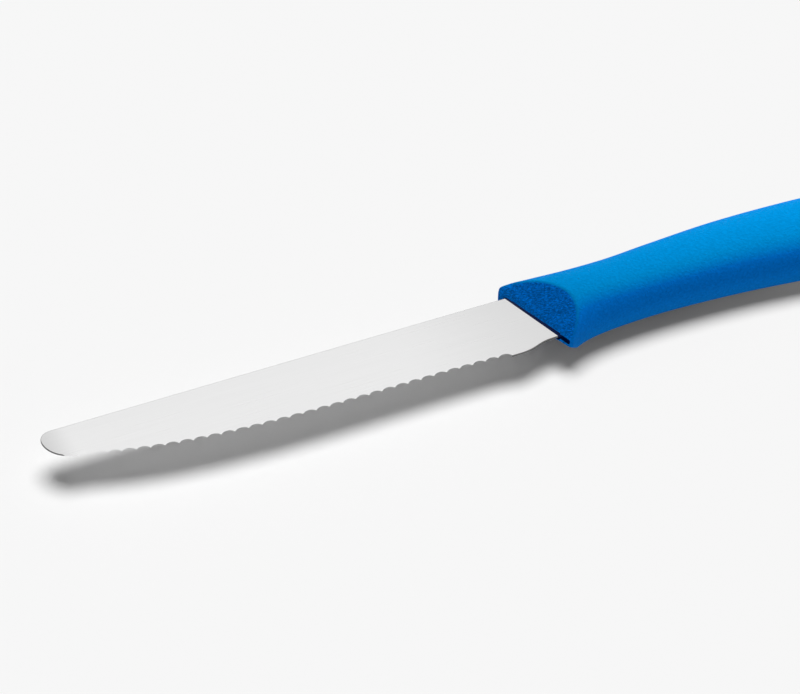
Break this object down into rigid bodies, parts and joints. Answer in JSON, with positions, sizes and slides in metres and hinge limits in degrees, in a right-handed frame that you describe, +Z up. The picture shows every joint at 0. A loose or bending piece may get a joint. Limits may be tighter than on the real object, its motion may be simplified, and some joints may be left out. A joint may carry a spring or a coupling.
{
  "type": "serrated table knife",
  "caption": "Serrated table knife with a round-nosed, scallop-ground stainless blade whose hidden tang is locked in a moulded plastic handle with a bevelled front.",
  "frame": {"origin": "middle of the footprint of the knife lying on its side, on the surface that it lies on", "axes": "+X along the knife from the blade's tip to the handle's butt, +Y from the cutting edge to the spine, +Z up from the surface"},
  "size_m": [0.2146, 0.024, 0.014],
  "materials": {
    "blade_steel": "fine satin, ground along the blade",
    "handle_plastic": "blue polypropylene with a fine moulded grain"
  },
  "bodies": {
    "root": {"blade": "blade_steel", "handle": "handle_plastic"}
  },
  "joints": []
}
